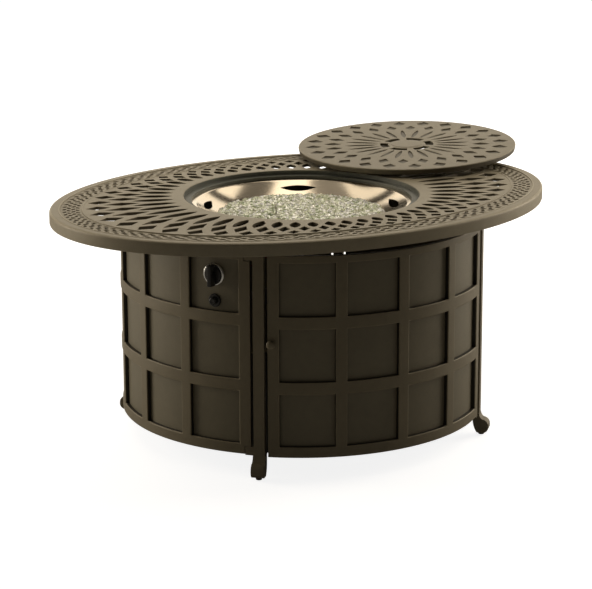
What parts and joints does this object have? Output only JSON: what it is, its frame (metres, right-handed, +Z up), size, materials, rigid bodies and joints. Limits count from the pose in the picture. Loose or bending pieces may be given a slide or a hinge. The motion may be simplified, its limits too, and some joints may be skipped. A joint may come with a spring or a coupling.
{
  "type": "fire pit table",
  "caption": "Oval cast metal fire pit table with a pierced top, a round burner bowl, a lift-off lid and a drum base with a door.",
  "frame": {"origin": "on the floor, in the middle of the four glides and under the middle of the burner opening", "axes": "+X along the oval top's long axis, -Y towards the door, +Z up"},
  "size_m": [1.5311, 1.0973, 0.6833],
  "materials": {
    "cast_taupe": "textured powder coat, taupe bronze",
    "panel_taupe": "textured powder coat, dark taupe bronze",
    "sheet_dark": "matt powder coat, dark brown",
    "dark_steel": "heat-proof satin paint",
    "stainless": "spun stainless steel",
    "fire_glass": "crushed tempered glass",
    "ceramic": "unglazed ceramic with a steel rod",
    "zinc": "zinc plate",
    "chrome": "polished chrome plate",
    "knob_black": "black moulded plastic",
    "nylon": "brown nylon",
    "brass": "machined brass",
    "aluminium_pipe": "bare tube",
    "lead_sleeve": "silicone sleeve"
  },
  "bodies": {
    "base": {"table_top": "cast_taupe", "opening_collar": "dark_steel", "collar_screws": "zinc", "fire_bowl": "stainless", "bowl_clips": "zinc", "burner": "stainless", "fire_glass": "fire_glass", "electrode": "ceramic", "panel_left": "panel_taupe", "panel_right": "panel_taupe", "panel_back": "panel_taupe", "sheet_left": "sheet_dark", "sheet_right": "sheet_dark", "sheet_back": "sheet_dark", "support_ring": "dark_steel", "top_screws": "zinc", "tank_shelf": "dark_steel", "shelf_screws": "zinc", "door_catch": "knob_black", "hinge_bracket_lower": "dark_steel", "hinge_bracket_upper": "dark_steel", "hinge_pins": "zinc", "knob_bezel": "chrome", "gas_valve": "brass", "igniter_body": "chrome", "igniter_nut": "zinc", "gas_pipe": "aluminium_pipe", "air_mixer": "zinc", "ignition_lead": "lead_sleeve", "leg_front_left": "panel_taupe", "glide_front_left": "nylon", "leg_front_right": "panel_taupe", "glide_front_right": "nylon", "leg_back_right": "panel_taupe", "glide_back_right": "nylon", "leg_back_left": "panel_taupe", "glide_back_left": "nylon"},
    "door": {"door_frame": "panel_taupe", "door_sheet": "sheet_dark", "door_pull": "cast_taupe", "door_strike": "zinc"},
    "knob": {"gas_knob": "knob_black", "valve_stem": "brass"},
    "button": {"igniter_button": "knob_black"},
    "lid": {"burner_lid": "cast_taupe"}
  },
  "joints": [
    {"name": "door_hinge", "type": "hinge", "parent": "base", "child": "door", "pos_m": [0.31526, -0.35996, 0.3], "axis": [0, 0, 1], "range_deg": [0, 100]},
    {"name": "knob_turn", "type": "hinge", "parent": "base", "child": "knob", "pos_m": [-0.40713, -0.24078, 0.5205], "axis": [-0.8607, -0.509, 0], "range_deg": [0, 150]},
    {"name": "button_press", "type": "slide", "parent": "base", "child": "button", "axis": [0.8607, 0.509, 0], "range_m": [0, 0.004], "stiffness_N_per_m": 800, "springref_m": -0.002},
    {"name": "lid_lift", "type": "slide", "parent": "base", "child": "lid", "axis": [0, 0, 1], "range_m": [0, 0.3]}
  ]
}
